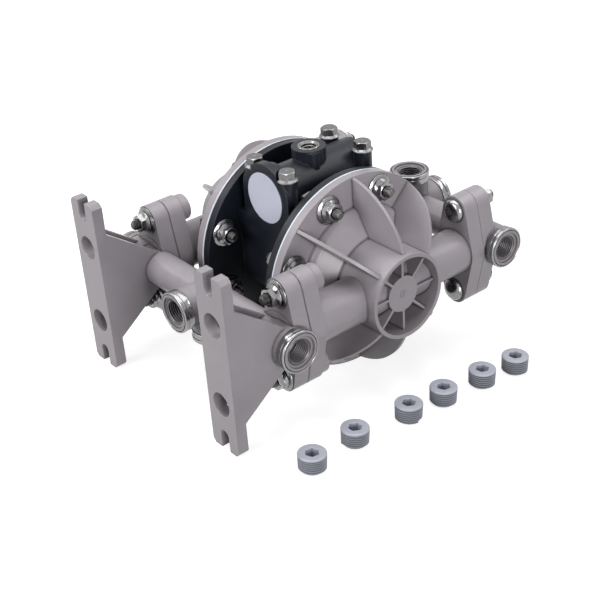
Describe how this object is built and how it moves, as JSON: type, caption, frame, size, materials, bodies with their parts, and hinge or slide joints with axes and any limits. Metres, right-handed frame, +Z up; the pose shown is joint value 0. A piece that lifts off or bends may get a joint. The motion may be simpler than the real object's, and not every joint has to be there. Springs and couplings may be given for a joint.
{
  "type": "air operated diaphragm pump",
  "caption": "Plastic air operated double diaphragm pump on its back, with ball valves, two manifolds, slotted feet and loose port plugs.",
  "frame": {"origin": "centre of the two feet on their mounting face", "axes": "+Y from the feet along the liquid's way to the outlet manifold, +X along the diaphragm rod, +Z up as the pump lies, towards the air inlet"},
  "size_m": [0.2664, 0.2962, 0.1744],
  "materials": {
    "grey_plastic": "satin",
    "black_plastic": "satin",
    "blue_grey_plastic": "satin",
    "white_elastomer": "matte",
    "white_ptfe": "satin",
    "label_film": "satin",
    "steel": "polished",
    "aluminium": "satin"
  },
  "bodies": {
    "pump": {"fluid_cap_left": "grey_plastic", "diaphragm_rim_left": "white_elastomer", "cap_studs_left": "steel", "cap_washers_left": "steel", "cap_nuts_left": "steel", "fluid_cap_right": "grey_plastic", "diaphragm_rim_right": "white_elastomer", "cap_studs_right": "steel", "cap_washers_right": "steel", "cap_nuts_right": "steel", "centre_body": "black_plastic", "valve_end_caps": "black_plastic", "label_disc": "label_film", "valve_sleeve": "black_plastic", "block_bolts": "steel", "air_inlet_insert": "steel", "exhaust_insert": "steel", "inlet_manifold": "grey_plastic", "inlet_ring_left": "steel", "inlet_ring_right": "steel", "inlet_ring_middle": "steel", "inlet_ring_cross": "steel", "inlet_seat_left": "grey_plastic", "inlet_seat_right": "grey_plastic", "inlet_studs": "steel", "inlet_washers": "steel", "inlet_nuts": "steel", "outlet_manifold": "grey_plastic", "outlet_ring_left": "steel", "outlet_ring_right": "steel", "outlet_ring_middle": "steel", "outlet_ring_cross": "steel", "outlet_seat_left": "grey_plastic", "outlet_seat_right": "grey_plastic", "outlet_bolts": "steel", "outlet_washers": "steel", "outlet_nuts": "steel", "seat_seals": "white_ptfe", "port_plug_1": "blue_grey_plastic", "port_plug_2": "blue_grey_plastic", "port_plug_3": "blue_grey_plastic", "port_plug_4": "blue_grey_plastic", "port_plug_5": "blue_grey_plastic", "port_plug_6": "blue_grey_plastic"},
    "diaphragm_assembly": {"diaphragm_rod": "steel", "air_plate_left": "steel", "fluid_plate_left": "grey_plastic", "diaphragm_screw_left": "steel", "diaphragm_web_left": "white_elastomer", "air_plate_right": "steel", "fluid_plate_right": "grey_plastic", "diaphragm_screw_right": "steel", "diaphragm_web_right": "white_elastomer"},
    "pilot": {"pilot_rod": "steel"},
    "spool": {"valve_spool": "aluminium"},
    "inlet_ball_left_body": {"inlet_ball_left": "white_ptfe"},
    "inlet_ball_right_body": {"inlet_ball_right": "white_ptfe"},
    "outlet_ball_left_body": {"outlet_ball_left": "white_ptfe"},
    "outlet_ball_right_body": {"outlet_ball_right": "white_ptfe"}
  },
  "joints": [
    {"name": "rod_slide", "type": "slide", "parent": "pump", "child": "diaphragm_assembly", "axis": [1, 0, 0], "range_m": [-0.007, 0.007], "deforming": ["diaphragm_web_left", "diaphragm_web_right"]},
    {"name": "pilot_slide", "type": "slide", "parent": "pump", "child": "pilot", "axis": [1, 0, 0], "range_m": [-0.003, 0.003]},
    {"name": "spool_slide", "type": "slide", "parent": "pump", "child": "spool", "axis": [0, 1, 0], "range_m": [0, 0.012]},
    {"name": "inlet_ball_left_lift", "type": "slide", "parent": "pump", "child": "inlet_ball_left_body", "axis": [0, 1, 0], "range_m": [0, 0.005]},
    {"name": "inlet_ball_right_lift", "type": "slide", "parent": "pump", "child": "inlet_ball_right_body", "axis": [0, 1, 0], "range_m": [0, 0.005]},
    {"name": "outlet_ball_left_lift", "type": "slide", "parent": "pump", "child": "outlet_ball_left_body", "axis": [0, 1, 0], "range_m": [0, 0.005]},
    {"name": "outlet_ball_right_lift", "type": "slide", "parent": "pump", "child": "outlet_ball_right_body", "axis": [0, 1, 0], "range_m": [0, 0.005]}
  ],
  "couplings": [
    {"joint": "pilot_slide", "follows": "rod_slide", "ratio": 0.42857}
  ]
}
